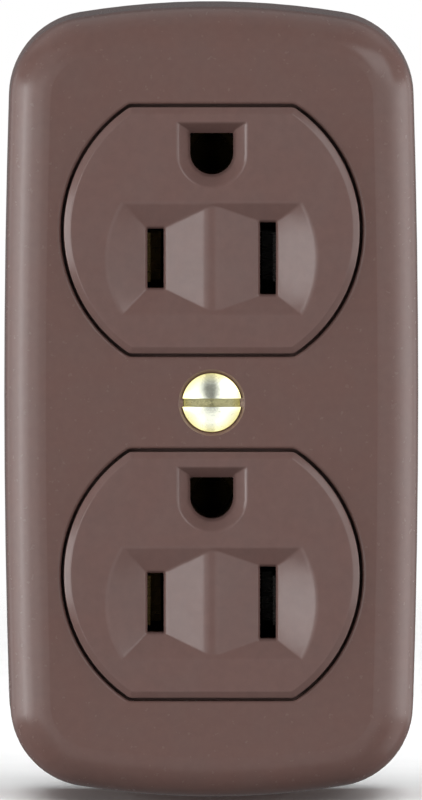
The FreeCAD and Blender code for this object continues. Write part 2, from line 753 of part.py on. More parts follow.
def make_strap():
    """Strip behind the body that joins both ground cups, with a tab bent forward at the lower end."""
    strap = new_body("ground_strap")
    back, front = "dim.body_back - dim.strap_thick", "dim.body_back"
    end = "(dim.body_height / 2 + dim.ground_tab_gap)"
    top = "(dim.outlet_pitch / 2 + dim.ground_rise + dim.strap_width / 2)"
    add_between(strap, lambda sketch: rectangle(sketch, "dim.strap_width", f"{top} + {end}"),
                back, front, up=f"({top} - {end}) / 2")
    foot_right = "(dim.ground_screw_side + dim.ground_tab_width / 2)"
    foot_left = "(dim.strap_width / 2)"
    add_between(strap, lambda sketch: rectangle(sketch, f"{foot_right} + {foot_left}", "dim.strap_foot"),
                back, front, f"({foot_right} - {foot_left}) / 2", f"-({end} - dim.strap_foot / 2)")
    add_between(strap, lambda sketch: rectangle(sketch, "dim.ground_tab_width", "dim.strap_thick"),
                back, "dim.ground_tab_front", "dim.ground_screw_side", f"-({end} + dim.strap_thick / 2)")
    bore = sketch_on(strap, "XY_Plane", "dim.ground_screw_side", "-dim.ground_screw_depth",
                     f"-({end} + 2 * dim.strap_thick)")
    circle(bore, "dim.terminal_shank + dim.thread_clearance")
    cut(strap, bore, "3 * dim.strap_thick")
    for height in OUTLETS.values():
        cut_between(strap, lambda sketch: circle(sketch, "dim.rivet_shank + dim.thread_clearance"),
                    back, front, up=f"{height} + dim.ground_rise")
    return strap


def make_cup(name, height):
    """Spring cup that grips a ground pin: a turned cup, slit crosswise into four leaves."""
    cup = new_body(f"ground_contact_{name}")
    row = f"{height} + dim.ground_rise"
    floor = "dim.cup_chamber_floor"
    add_between(cup, lambda sketch: circle(sketch, "dim.cup_inner + dim.cup_wall"), floor, "dim.cup_front",
                up=row)
    cut_between(cup, lambda sketch: circle(sketch, "dim.cup_inner"), f"{floor} + dim.cup_wall",
                "dim.cup_front", up=row)
    cut_between(cup, lambda sketch: circle(sketch, "dim.rivet_shank + dim.thread_clearance"), floor,
                f"{floor} + dim.cup_wall", up=row)
    wide = "4 * dim.cup_inner"
    for across, along in ((wide, "dim.cup_slit"), ("dim.cup_slit", wide)):
        cut_between(cup, lambda sketch: rectangle(sketch, across, along), f"{floor} + dim.cup_slit_floor",
                    "dim.cup_front", up=row)
    return cup


def make_rivet(name, height):
    """Rivet through the cup's floor, the body's floor and the strap."""
    rivet = new_body(f"ground_rivet_{name}")
    row = f"{height} + dim.ground_rise"
    back, front = "dim.body_back - dim.strap_thick", "dim.cup_chamber_floor + dim.cup_wall"
    add_between(rivet, lambda sketch: circle(sketch, "dim.rivet_head"), f"{back} - dim.rivet_head_height",
                back, up=row)
    add_between(rivet, lambda sketch: circle(sketch, "dim.rivet_shank"), back, front, up=row)
    add_between(rivet, lambda sketch: circle(sketch, "dim.rivet_head"), front,
                f"{front} + dim.rivet_head_height", up=row)
    return rivet


# ---------------------------------------------------------------- screws, nut and washer

def make_terminal_screw(label, turned, right, out, up):
    """Binding-head screw along its own y axis, head towards -y, then turned and moved to its place."""
    screw = new_body(label)
    head = "dim.terminal_head_height"
    turn(screw, [
        ("0", f"-{head}"),
        ("dim.terminal_head", f"-{head}"),
        ("dim.terminal_head", "0"),
        ("dim.terminal_shank", "0"),
        ("dim.terminal_shank", "dim.terminal_length - dim.terminal_tip"),
        ("dim.terminal_shank - dim.terminal_tip", "dim.terminal_length"),
        ("0", "dim.terminal_length"),
    ])
    round_edges(screw, lambda edge: at_depth(edge, head), "dim.terminal_head_round")
    cut_between(screw, lambda sketch: rectangle(sketch, "3 * dim.terminal_head", "dim.driver_slot_width"),
                f"{head} - dim.driver_slot_depth", head)
    screw.Placement = FreeCAD.Placement(FreeCAD.Vector(), turned)
    for letter, expression in zip("xyz", (right, f"-({out})", up)):
        screw.setExpression(f"Placement.Base.{letter}", expression)
    return screw


def make_terminal_screws():
    plate = "(dim.body_width / 2 - dim.strip_recess + dim.strip_thick)"
    outwards = {HOT: FreeCAD.Rotation(FreeCAD.Vector(0, 0, 1), -90),
                NEUTRAL: FreeCAD.Rotation(FreeCAD.Vector(0, 0, 1), 90)}
    screws = []
    for side, kind in ((HOT, "hot"), (NEUTRAL, "neutral")):
        for row, name in ((1, "upper"), (-1, "lower")):
            screws.append(make_terminal_screw(
                f"{kind}_terminal_screw_{name}", outwards[side], f"{side} * {plate}",
                "dim.terminal_depth", f"{row} * dim.terminal_row - dim.slot_drop"))
    downwards = FreeCAD.Rotation(FreeCAD.Vector(1, 0, 0), 90)
    screws.append(make_terminal_screw(
        "ground_terminal_screw", downwards, "dim.ground_screw_side", "dim.ground_screw_depth",
        "-(dim.body_height / 2 + dim.ground_tab_gap + dim.strap_thick)"))
    return screws


def make_cover_screw():
    """Oval-head screw: crowned above its countersunk cone, slotted straight across."""
    screw = new_body("cover_screw")
    sketch = sketch_on(screw, "XY_Plane")
    rim, shank = "dim.cover_screw_head", "dim.cover_screw_shank"
    cone = f"({rim} - {shank}) / tan(dim.cover_screw_seat_angle)"
    face, tip = "-dim.cover_depth + dim.cover_screw_sink", "-dim.cover_screw_tip"
    point = "dim.cover_screw_point"
    corners = [(rim, face), (shank, f"{face} + {cone}"), (shank, f"{tip} - {point}"),
               (f"{shank} - {point}", tip), ("0", tip), ("0", f"{face} - dim.cover_screw_crown")]
    points = [(number(right), number(up)) for right, up in corners]
    rise = number("dim.cover_screw_crown")
    crown_radius = (number(rim) ** 2 + rise ** 2) / (2 * rise)
    centre = FreeCAD.Vector(0, points[-1][1] + crown_radius, 0)
    ring = Part.Circle(centre, FreeCAD.Vector(0, 0, 1), crown_radius)
    stop = math.atan2(points[0][1] - centre.y, points[0][0])
    crown = sketch.addGeometry(Part.ArcOfCircle(ring, -math.pi / 2, stop), False)
    sketch.addConstraint(Sketcher.Constraint("PointOnObject", crown, 3, -2))
    sides = [line(sketch, here, there) for here, there in zip(points, points[1:])]
    join(sketch, [(curve, 1, 2) for curve in [crown] + sides])
    for side, (right, up) in zip([*sides, crown], corners):
        place(sketch, side, 1, right, up)
    feature = screw.newObject("PartDesign::Revolution", "cover_screw_turned")
    feature.Profile = sketch
    feature.ReferenceAxis = (sketch, ["V_Axis"])
    feature.Angle = 360
    top = "dim.cover_depth - dim.cover_screw_sink + dim.cover_screw_crown"
    cut_between(screw, lambda sketch: rectangle(sketch, f"3 * {rim}", "dim.cover_screw_slot_width"),
                f"{top} - dim.cover_screw_slot_depth", top)
    return screw


def make_nut():
    nut = new_body("cover_screw_nut")
    back, front = "dim.nut_pocket_floor", "dim.nut_pocket_floor + dim.nut_thick"
    add_between(nut, lambda sketch: rectangle(sketch, "dim.nut_across", "dim.nut_across"), back, front)
    bore = "dim.cover_screw_shank + dim.thread_clearance"
    cut_between(nut, lambda sketch: circle(sketch, bore), back, front)
    return nut


def make_retainer():
    washer = new_body("screw_retainer")
    back, front = "dim.washer_back", "dim.washer_back + dim.washer_thick"
    add_between(washer, lambda sketch: circle(sketch, "dim.washer_round"), back, front)
    cut_between(washer, lambda sketch: circle(sketch, "dim.cover_screw_shank + dim.thread_clearance"),
                back, front)
    return washer


def make_assembly_screw(name, side):
    """Pan-head screw from the back of the base, through the body, into the outlet faces."""
    screw = new_body(f"assembly_screw_{name}")
    place_at = {"right": f"{side} * dim.assembly_side", "up": f"{side} * dim.assembly_rise"}
    seat = "dim.assembly_seat"
    add_between(screw, lambda sketch: circle(sketch, "dim.assembly_head"),
                f"{seat} - dim.assembly_head_height", seat, **place_at)
    add_between(screw, lambda sketch: circle(sketch, "dim.assembly_shank"), seat, "dim.assembly_tip",
                **place_at)
    top = f"{seat} - dim.assembly_head_height"
    round_edges(screw, lambda edge: at_depth(edge, top), "dim.assembly_head_round")
    for across, along in (("dim.cross_length", "dim.cross_width"), ("dim.cross_width", "dim.cross_length")):
        cut_between(screw, lambda sketch: rectangle(sketch, across, along), top,
                    f"{top} + dim.cross_depth", **place_at)
    return screw


# ---------------------------------------------------------------- base plate

def make_base():
    base = new_body("base")
    edge = "dim.draft_inset + dim.cover_wall + dim.base_gap"
    add_between(base, lambda sketch: bowed_outline(sketch, edge), "0", "dim.base_lip_front")
    cut_between(base, lambda sketch: bowed_outline(sketch, f"{edge} + dim.base_lip"),
                "dim.base_floor", "dim.base_lip_front")
    for end in (-1, 1):
        cut_between(base, lambda sketch: rectangle(sketch, "dim.base_notch_width", "dim.base_notch_height"),
                    "dim.base_floor", "dim.base_lip_front", up=f"{end} * dim.base_notch_middle")
        cut_between(base, lambda sketch: circle(sketch, "dim.mount_hole"), "0", "dim.base_floor",
                    up=f"{end} * dim.mount_pitch / 2")
    for side in (-1, 1):
        place_at = {"right": f"{side} * dim.assembly_side", "up": f"{side} * dim.assembly_rise"}
        add_between(base, lambda sketch: circle(sketch, "dim.standoff_round"), "dim.base_floor",
                    "dim.body_back", **place_at)
        cut_between(base, lambda sketch: circle(sketch, "dim.assembly_shank + 2 * dim.thread_clearance"),
                    "0", "dim.body_back", **place_at)
        cut_between(base, lambda sketch: circle(sketch, "dim.assembly_head + dim.assembly_head_gap"), "0",
                    "dim.assembly_seat", **place_at)
    cut_between(base, lambda sketch: flatted_circle(sketch, "dim.cable_entry_width / 2",
                                                    "dim.cable_entry_height / 2"),
                "0", "dim.base_floor")
    return base


# ---------------------------------------------------------------- build, check and write

def make_all():
    parts = [make_cover(), make_cover_screw(), make_retainer(), make_nut(), make_faces(),
             make_receptacle_body(), make_bus("hot_bus", HOT), make_bus("neutral_bus", NEUTRAL), make_strap()]
    for name, height in OUTLETS.items():
        parts += [make_cup(name, height), make_rivet(name, height)]
    parts += make_terminal_screws()
    parts += [make_assembly_screw("upper", 1), make_assembly_screw("lower", -1), make_base()]
    return parts


def check_document():
    for item in doc.Objects:
        if "Invalid" in item.State or "Error" in item.State:
            raise RuntimeError(f"{item.Label} failed: {item.State}")


def check_part(part):
    shape = part.Shape
    if shape.isNull() or not shape.isValid() or len(shape.Solids) != 1:
        raise RuntimeError(f"{part.Label} isn't one valid solid")


parts = make_all()
doc.recompute()
check_document()
for part in parts:
    check_part(part)
os.makedirs("parts", exist_ok=True)
for part in parts:
    part.Shape.exportStep(f"parts/{part.Label}.step")
    print(part.Label, round(part.Shape.Volume, 1), "mm3")
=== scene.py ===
import bpy
import bmesh
import json
import math
from mathutils import Matrix, Vector
from mathutils.geometry import delaunay_2d_cdt


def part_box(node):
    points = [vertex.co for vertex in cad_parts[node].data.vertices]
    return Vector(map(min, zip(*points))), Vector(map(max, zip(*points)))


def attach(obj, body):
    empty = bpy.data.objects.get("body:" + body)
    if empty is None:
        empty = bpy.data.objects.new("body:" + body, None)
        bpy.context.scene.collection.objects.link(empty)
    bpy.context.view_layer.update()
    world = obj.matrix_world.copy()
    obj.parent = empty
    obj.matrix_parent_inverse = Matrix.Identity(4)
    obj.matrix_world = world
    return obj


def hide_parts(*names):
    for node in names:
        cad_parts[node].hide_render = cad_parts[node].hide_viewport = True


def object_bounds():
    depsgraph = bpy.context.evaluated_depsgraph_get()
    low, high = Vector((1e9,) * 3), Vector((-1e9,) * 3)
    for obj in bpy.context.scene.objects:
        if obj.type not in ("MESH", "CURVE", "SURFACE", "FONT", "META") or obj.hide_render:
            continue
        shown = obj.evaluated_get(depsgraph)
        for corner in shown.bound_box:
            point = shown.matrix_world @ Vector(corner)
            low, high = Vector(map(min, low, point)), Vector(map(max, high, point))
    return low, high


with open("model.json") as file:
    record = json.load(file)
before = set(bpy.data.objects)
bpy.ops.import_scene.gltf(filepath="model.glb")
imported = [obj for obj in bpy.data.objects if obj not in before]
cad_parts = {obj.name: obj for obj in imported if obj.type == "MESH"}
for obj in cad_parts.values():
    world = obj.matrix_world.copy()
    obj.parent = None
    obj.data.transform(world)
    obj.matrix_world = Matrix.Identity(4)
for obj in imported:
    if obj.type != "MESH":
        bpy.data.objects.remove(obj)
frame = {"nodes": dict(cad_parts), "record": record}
CAD_BOX = [list(corner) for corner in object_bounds()]
NODES = frame["nodes"]
LOW, HIGH = (Vector(corner) for corner in CAD_BOX)
MM = 0.001


def box(node):
    """Lowest and highest corners of a CAD node, in millimetres."""
    low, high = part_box(node)
    return Vector(low) / MM, Vector(high) / MM


# ---------------------------------------------------------------- outlines, in millimetres

def arc(centre, radius, start, end, step=0.3):
    """Points along an arc from one angle (radians) to another, without its last point."""
    count = max(3, math.ceil(radius * abs(end - start) / step))
    turns = [start + (end - start) * index / count for index in range(count)]
    return [(centre[0] + radius * math.cos(a), centre[1] + radius * math.sin(a)) for a in turns]


def circle(centre, radius, step=0.3):
    """Points round a whole circle."""
    return arc(centre, radius, 0, 2 * math.pi, step)


def rounded_box(centre, reach, rise, corner, step=0.3):
    """Anticlockwise rectangle of half sides reach and rise, with round corners."""
    points = []
    for quarter, (side, up) in enumerate(((1, 1), (-1, 1), (-1, -1), (1, -1))):
        middle = (centre[0] + side * (reach - corner), centre[1] + up * (rise - corner))
        start = quarter * math.pi / 2
        points += arc(middle, corner, start, start + math.pi / 2, min(step, corner / 3))
        points.append((middle[0] + corner * math.cos(start + math.pi / 2),
                       middle[1] + corner * math.sin(start + math.pi / 2)))
    return divide(points, step)


def divide(loop, step):
    """The same closed line with its long stretches cut into shorter ones."""
    points = []
    for start, end in zip(loop, loop[1:] + loop[:1]):
        length = math.dist(start, end)
        count = max(1, round(length / step))
        if length < 1e-6:
            continue
        points += [(start[0] + (end[0] - start[0]) * index / count,
                    start[1] + (end[1] - start[1]) * index / count) for index in range(count)]
    return points


def grow(loop, distance):
    """The loop moved outwards along its own normals; a negative distance moves it inwards."""
    points = []
    for before, here, after in zip(loop[-1:] + loop[:-1], loop, loop[1:] + loop[:1]):
        along = Vector(after) - Vector(before)
        out = Vector((along.y, -along.x)).normalized()
        points.append((here[0] + out.x * distance, here[1] + out.y * distance))
    return points


def inside(point, loop):
    """Whether a point lies inside a closed line."""
    x, y = point
    within = False
    for (x0, y0), (x1, y1) in zip(loop, loop[1:] + loop[:1]):
        if (y0 > y) != (y1 > y) and x < x0 + (x1 - x0) * (y - y0) / (y1 - y0):
            within = not within
    return within


def grid(left, right, bottom, top, step):
    """Points in even rows and columns that fill a rectangle."""
    columns, rows = round((right - left) / step), round((top - bottom) / step)
    return [(left + (right - left) * column / columns, bottom + (top - bottom) * row / rows)
            for column in range(columns + 1) for row in range(rows + 1)]


# ---------------------------------------------------------------- meshes

def low_of(first, second, blend):
    """The lower of two numbers, with a round meeting of the given size where they cross."""
    near = max(blend - abs(first - second), 0) / blend
    return min(first, second) - near * near * blend / 4


def high_of(first, second, blend):
    """The higher of two numbers, with the same round meeting."""
    return -low_of(-first, -second, blend)


class Shell:
    """A closed piece built from sheets that face the front or the back and walls between them.

    Sheets are drawn as seen from the front, in x and z; depth is the distance out from the wall.
    """

    def __init__(self):
        self.mesh = bmesh.new()

    def vertex(self, x, z, depth):
        return self.mesh.verts.new((x * MM, -depth * MM, z * MM))

    def sheet(self, loops, keep, depth, extra=(), front=True):
        """Fill between closed lines; keep says whether the triangle about a point belongs."""
        points, edges = [], []
        for loop in loops:
            first = len(points)
            points += loop
            edges += [(first + index, first + (index + 1) % len(loop)) for index in range(len(loop))]
        points += extra
        flat = [Vector(point) for point in points]
        placed, _, faces, _, _, _ = delaunay_2d_cdt(flat, edges, [], 0, 1e-6)
        corners = [None] * len(placed)
        for face in faces:
            middle = sum((placed[index] for index in face), Vector((0, 0))) / 3
            if not keep((middle.x, middle.y)):
                continue
            for index in face:
                if corners[index] is None:
                    x, z = placed[index]
                    corners[index] = self.vertex(x, z, depth(x, z))
            order = face if front else face[::-1]
            self.mesh.faces.new([corners[index] for index in order])

    def wall(self, loop, deep, near):
        """Wall along a closed line between two depths, each a function of x and z."""
        back = [self.vertex(x, z, deep(x, z)) for x, z in loop]
        front = [self.vertex(x, z, near(x, z)) for x, z in loop]
        for index in range(len(loop)):
            after = (index + 1) % len(loop)
            self.mesh.faces.new((back[index], back[after], front[after], front[index]))

    def piece(self, name, body, sharp=35):
        return make_piece(name, self.mesh, body, sharp)


def level(depth):
    """The same depth at every place."""
    return lambda x, z: depth


def make_piece(name, mesh, body, sharp=35):
    """Turn a bmesh into a piece that rides on a body, smooth except across its sharp edges."""
    bmesh.ops.remove_doubles(mesh, verts=mesh.verts, dist=2e-7)
    bmesh.ops.dissolve_degenerate(mesh, edges=mesh.edges, dist=1e-7)
    bmesh.ops.recalc_face_normals(mesh, faces=mesh.faces)
    for face in mesh.faces:
        face.smooth = True
    for edge in mesh.edges:
        edge.smooth = len(edge.link_faces) == 2 and edge.calc_face_angle() < math.radians(sharp)
    data = bpy.data.meshes.new(name)
    mesh.to_mesh(data)
    mesh.free()
    piece = bpy.data.objects.new(name, data)
    bpy.context.scene.collection.objects.link(piece)
    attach(piece, body)
    return piece


# ---------------------------------------------------------------- receptacle face

FACE_LOW, FACE_HIGH = box("receptacle_face")
FACE_DEPTH = -FACE_LOW.y
FLANGE_BACK = -FACE_HIGH.y
FLANGE_THICK = 2.7
FLANGE_CORNER = 3
PITCH = (box("ground_contact_upper")[0].z - box("ground_contact_lower")[0].z)
OUTLETS = (PITCH / 2, -PITCH / 2)
# A face is a circle cut flat at its top and bottom, with a sloping band and a tight edge round it.
FACE_ROUND, FACE_FLAT, FACE_CORNER = 16.7, 13.9, 1.0
BAND, BAND_DROP, RIM_ROUND = 0.75, 0.48, 0.12
# The blade slots: half width and half height by side, left -1 and right 1, and the steep lip round them.
SLOT_ROW, SLOT_REACH, SLOT_CORNER = -3.175, 6.35, 0.12
SLOT_SIZES = {-1: (0.92, 3.35), 1: (0.9, 4.07)}
SLOT_LIP, SLOT_LIP_DEPTH = 0.2, 0.5
# The two hoppers round the slots share a mouth with round ends and a low ridge between them.
HOPPER_ROUND, HOPPER_RISE, HOPPER_DEPTH = 11.875, 6.3, 1.3
RIDGE, RIDGE_DROP = 0.565, 0.25
# The ground hole is round below and flat above, with a steep lip and then a wider funnel round it.
HOLE_ROW, HOLE_ROUND, HOLE_TOP, HOLE_CORNER = 8.73, 2.43, 2.25, 0.15
HOLE_LIP_ROUND, HOLE_LIP_TOP, HOLE_LIP_DEPTH = 2.7, 2.65, 0.7
FUNNEL_ROUND, FUNNEL_TOP, FUNNEL_DEPTH = 3.87, 3.45, 1.3
WELL_ROUND = 4.2
# Sizes of the round meetings between slopes.
BAND_SOFT, HOPPER_SOFT, CREASE_SOFT, LIP_SOFT = 0.06, 0.11, 0.05, 0.3
FUNNEL_SOFT, HOLE_LIP_SOFT, FUNNEL_CREASE_SOFT = 0.16, 0.14, 0.08
# Distances in from the rim and out from the holes where the front's mesh has a ring of points.
RIM_RINGS = (0.01, 0.03, 0.06, 0.09, 0.12, 0.3, 0.5, 0.64, 0.7, 0.75, 0.8, 0.87)
HOLE_RINGS = (0.04, 0.08, 0.12, 0.16, 0.2, 0.24, 0.28, 0.33)
RIM_CLEAR, HOLE_CLEAR = 0.95, 0.36


def face_outline(step=0.25):
    """Circle with its top and bottom cut flat, and the four corners between them rounded."""
    rise = FACE_FLAT - FACE_CORNER
    reach = math.sqrt((FACE_ROUND - FACE_CORNER) ** 2 - rise ** 2)
    turn = math.atan2(rise, reach)
    points = arc((0, 0), FACE_ROUND, -turn, turn, step)
    points += arc((reach, rise), FACE_CORNER, turn, math.pi / 2, step / 3)
    points += arc((-reach, rise), FACE_CORNER, math.pi / 2, math.pi - turn, step / 3)
    points += arc((0, 0), FACE_ROUND, math.pi - turn, math.pi + turn, step)
    points += arc((-reach, -rise), FACE_CORNER, math.pi + turn, 1.5 * math.pi, step / 3)
    points += arc((reach, -rise), FACE_CORNER, 1.5 * math.pi, 2 * math.pi - turn, step / 3)
    return divide(points, step * 2)


def from_rim(x, z):
    """Distance in from the outline of a face."""
    rise = FACE_FLAT - FACE_CORNER
    reach = math.sqrt((FACE_ROUND - FACE_CORNER) ** 2 - rise ** 2)
    x, z = abs(x), abs(z)
    radial = FACE_ROUND - math.hypot(x, z)
    if z > rise and reach < x < reach / rise * z:
        return FACE_CORNER - math.hypot(x - reach, z - rise)
    return min(radial, FACE_FLAT - z)


def ruled_share(out, rise, far, tall):
    """Share of the way down the outer slope: straight lines run from the round rim to the slot's side."""
    turn = math.asin(HOPPER_RISE / HOPPER_ROUND)
    along = rise / HOPPER_RISE
    for _ in range(6):
        rim_out, rim_rise = HOPPER_ROUND * math.cos(along * turn), HOPPER_ROUND * math.sin(along * turn)
        share = (rim_out - out) / (rim_out - far)
        if along < 1e-6 or out < far:
            break
        along = min(rise / ((1 - share) * rim_rise / along + share * tall), 1.15)
    return share


def hopper_drop(x, z):
    """Depth of the two four-sided hoppers and the low ridge between them."""
    rise = abs(z - SLOT_ROW)
    if rise > HOPPER_RISE + 1 or abs(x) > HOPPER_ROUND + 1:
        return 0
    side = 1 if x > 0 else -1
    out = abs(x)
    half = SLOT_SIZES[side][0] + SLOT_LIP
    share = min(max((x + RIDGE) / (2 * RIDGE), 0), 1)
    tall = SLOT_SIZES[-1][1] * (1 - share) + SLOT_SIZES[1][1] * share + SLOT_LIP
    near, far = SLOT_REACH - half, SLOT_REACH + half
    inner = RIDGE_DROP + (HOPPER_DEPTH - RIDGE_DROP) * (out - RIDGE) / (near - RIDGE)
    inner = high_of(inner, RIDGE_DROP, HOPPER_SOFT)
    outer = HOPPER_DEPTH * ruled_share(out, rise, far, tall)
    end = HOPPER_DEPTH * (HOPPER_RISE - rise) / (HOPPER_RISE - tall)
    drop = low_of(low_of(inner, outer, CREASE_SOFT), end, CREASE_SOFT)
    return min(high_of(drop, 0, HOPPER_SOFT), HOPPER_DEPTH)


def stage(x, up, mouth, throat, depth, soft):
    """Depth of one sloping stage of the ground hole below its mouth; mouth and throat are (round, top)."""
    across = abs(x) if up > 0 else math.hypot(x, up)
    side = (mouth[0] - across) / (mouth[0] - throat[0])
    top = (mouth[1] - up) / (mouth[1] - throat[1])
    return min(high_of(depth * low_of(side, top, FUNNEL_CREASE_SOFT), 0, soft), depth)


def funnel_drop(x, z):
    """Depth of the funnel round the ground hole, and of the steep lip below it."""
    up = z - HOLE_ROW
    if math.hypot(x, up) > FUNNEL_ROUND + 2:
        return 0
    lip = (HOLE_LIP_ROUND, HOLE_LIP_TOP)
    return (stage(x, up, (FUNNEL_ROUND, FUNNEL_TOP), lip, FUNNEL_DEPTH, FUNNEL_SOFT)
            + stage(x, up, lip, (HOLE_ROUND, HOLE_TOP), HOLE_LIP_DEPTH, HOLE_LIP_SOFT))


def lip_drop(gap):
    """Depth of the steep lip round a blade slot, at a distance from the slot's edge."""
    return min(high_of(SLOT_LIP_DEPTH * (1 - gap / SLOT_LIP), 0, LIP_SOFT), SLOT_LIP_DEPTH)


def slot_gap(x, z, side):
    """Distance out from the edge of one blade slot."""
    half, tall = SLOT_SIZES[side]
    across = abs(x - side * SLOT_REACH) - half + SLOT_CORNER
    along = abs(z - SLOT_ROW) - tall + SLOT_CORNER
    if across < 0 or along < 0:
        return max(across, along) - SLOT_CORNER
    return math.hypot(across, along) - SLOT_CORNER


def hole_gap(x, z):
    """Distance out from the edge of the ground hole."""
    up = z - HOLE_ROW
    if up < 0:
        return math.hypot(x, up) - HOLE_ROUND
    across = abs(x) - HOLE_ROUND + HOLE_CORNER
    along = up - HOLE_TOP + HOLE_CORNER
    if across < 0 or along < 0:
        return max(across, along) - HOLE_CORNER
    return math.hypot(across, along) - HOLE_CORNER


def rim_drop(inwards):
    """Sloping band round the face, then a tight round edge."""
    drop = high_of(BAND_DROP * (1 - inwards / BAND), 0, BAND_SOFT)
    if inwards < RIM_ROUND:
        drop += RIM_ROUND - math.sqrt(max(RIM_ROUND ** 2 - (RIM_ROUND - inwards) ** 2, 0))
    return drop


def front_of(x, z):
    """Depth of the front of an outlet at a place measured from the outlet's centre."""
    drop = rim_drop(max(from_rim(x, z), 0)) + hopper_drop(x, z) + funnel_drop(x, z)
    return FACE_DEPTH - drop - lip_drop(min(slot_gap(x, z, -1), slot_gap(x, z, 1)))


def slot_loops():
    """Outlines of the two blade slots and the ground hole, measured from the outlet's centre."""
    loops = [rounded_box((side * SLOT_REACH, SLOT_ROW), half, tall, SLOT_CORNER, 0.2)
             for side, (half, tall) in SLOT_SIZES.items()]
    top, corner, reach = HOLE_ROW + HOLE_TOP, HOLE_CORNER, HOLE_ROUND
    hole = arc((0, HOLE_ROW), reach, math.pi, 2 * math.pi, 0.15)
    hole.append((reach, HOLE_ROW))
    hole += arc((reach - corner, top - corner), corner, 0, math.pi / 2, 0.06)
    hole.append((reach - corner, top))
    hole += arc((-reach + corner, top - corner), corner, math.pi / 2, math.pi, 0.06)
    hole.append((-reach, top - corner))
    return loops + [divide(hole, 0.15)]


def clear_of(point):
    """Whether an inner point is far enough from every edge not to crowd the rings along it."""
    x, z = point
    gaps = [slot_gap(x, z, side) for side in (-1, 1)] + [hole_gap(x, z)]
    return min(gaps) > HOLE_CLEAR and from_rim(x, z) > RIM_CLEAR


def make_face():
    """The moulding with both faces: the two fronts, their rims and holes, and the flange behind them."""
    shell = Shell()
    rim, holes = face_outline(), slot_loops()
    rings = [point for inwards in RIM_RINGS for point in grow(rim, -inwards)]
    rings += [point for hole in holes for gap in HOLE_RINGS for point in grow(hole, gap)]
    fine = grid(-HOPPER_ROUND - 0.5, HOPPER_ROUND + 0.5, SLOT_ROW - HOPPER_RISE - 0.4,
                SLOT_ROW + HOPPER_RISE + 0.4, 0.13)
    fine += grid(-FUNNEL_ROUND - 0.3, FUNNEL_ROUND + 0.3, HOLE_ROW - FUNNEL_ROUND - 0.3,
                 HOLE_ROW + FUNNEL_TOP + 0.3, 0.11)
    broad = [point for point in grid(-16, 16, -14, 14, 1.1) if not near_feature(point)]
    inner = [point for point in fine + broad if clear_of(point)]
    for height in OUTLETS:
        lift = lambda loop: [(x, z + height) for x, z in loop]
        keep = lambda p: inside_face(p, height)
        shell.sheet([lift(rim)] + [lift(hole) for hole in holes], keep,
                    lambda x, z: front_of(x, z - height), extra=lift(rings + inner))
        shell.wall(lift(rim), level(FLANGE_BACK + FLANGE_THICK), lambda x, z: front_of(x, z - height))
        for hole in holes:
            shell.wall(lift(hole)[::-1], level(FLANGE_BACK), lambda x, z: front_of(x, z - height))
    add_flange(shell, rim, holes)
    piece = shell.piece("receptacle_face_moulding", "root", sharp=50)
    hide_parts("receptacle_face")
    return piece


def near_feature(point):
    """Whether a point is on or beside the hoppers or the funnel, which have finer grids of their own."""
    x, z = point
    hopper = abs(x) < HOPPER_ROUND + 0.6 and abs(z - SLOT_ROW) < HOPPER_RISE + 0.5
    funnel = abs(x) < FUNNEL_ROUND + 0.4 and -FUNNEL_ROUND - 0.4 < z - HOLE_ROW < FUNNEL_TOP + 0.4
    return hopper or funnel


def inside_face(point, height):
    """Whether a point is on the front of the outlet at a height: inside its rim, outside its holes."""
    x, z = point[0], point[1] - height
    if from_rim(x, z) < 0:
        return False
    return min(slot_gap(x, z, -1), slot_gap(x, z, 1), hole_gap(x, z)) > -0.001


def add_flange(shell, rim, holes):
    """The plate that joins the two faces, with its well for the cover screw."""
    middle = ((FACE_LOW.x + FACE_HIGH.x) / 2, (FACE_LOW.z + FACE_HIGH.z) / 2)
    reach, rise = (FACE_HIGH.x - FACE_LOW.x) / 2, (FACE_HIGH.z - FACE_LOW.z) / 2
    outline = rounded_box(middle, reach, rise, FLANGE_CORNER, 1.0)
    well = circle((0, 0), WELL_ROUND)
    front = FLANGE_BACK + FLANGE_THICK
    rims = [[(x, z + height) for x, z in rim] for height in OUTLETS]
    open_holes = [[(x, z + height) for x, z in hole] for height in OUTLETS for hole in holes]

    def between(point, cuts):
        return inside(point, outline) and not any(inside(point, cut) for cut in [well] + cuts)

    shell.sheet([outline, well] + rims, lambda p: between(p, rims), level(front))
    shell.sheet([outline, well] + open_holes, lambda p: between(p, open_holes), level(FLANGE_BACK),
                front=False)
    shell.wall(outline, level(FLANGE_BACK), level(front))
    shell.wall(well[::-1], level(FLANGE_BACK), level(front))


# ---------------------------------------------------------------- screws

def turned(profile, sides=64, thread=None):
    """Solid turned about its own axis from (height, radius) points, lowest first, with a screw thread.

    thread is (start, end, pitch, depth): the crests keep the profile's radius and the grooves are cut in.
    """
    mesh = bmesh.new()
    rows = []
    for height, radius in profile:
        ring = []
        for index in range(sides):
            angle = 2 * math.pi * index / sides
            cut = 0
            if thread and thread[0] < height < thread[1]:
                start, end, pitch, deep = thread
                phase = (height / pitch - index / sides) % 1
                fade = min(1, (height - start) / pitch, (end - height) / pitch)
                cut = deep * fade * min(1, max(0, 1.35 * (1 - abs(2 * phase - 1)) - 0.1))
            ring.append(mesh.verts.new(((radius - cut) * math.cos(angle) * MM,
                                        (radius - cut) * math.sin(angle) * MM, height * MM)))
        rows.append(ring)
    for lower, upper in zip(rows, rows[1:]):
        for index in range(sides):
            after = (index + 1) % sides
            mesh.faces.new((lower[index], lower[after], upper[after], upper[index]))
    mesh.faces.new(rows[0][::-1])
    mesh.faces.new(rows[-1])
    return mesh


def steps(start, end, count):
    """Even steps from one number to another, with both ends."""
    return [start + (end - start) * index / count for index in range(count + 1)]


def screw_profile(length, shank, point, neck, head, pitch):
    """Profile from a cut point up a shank, in steps that suit the pitch, and then the head's points."""
    rows = [(0, shank - point)]
    rows += [(height, shank if height > point else shank - point + height) for height in
             steps(pitch / 8, length - neck, math.ceil((length - neck) / pitch * 9))]
    return rows + head


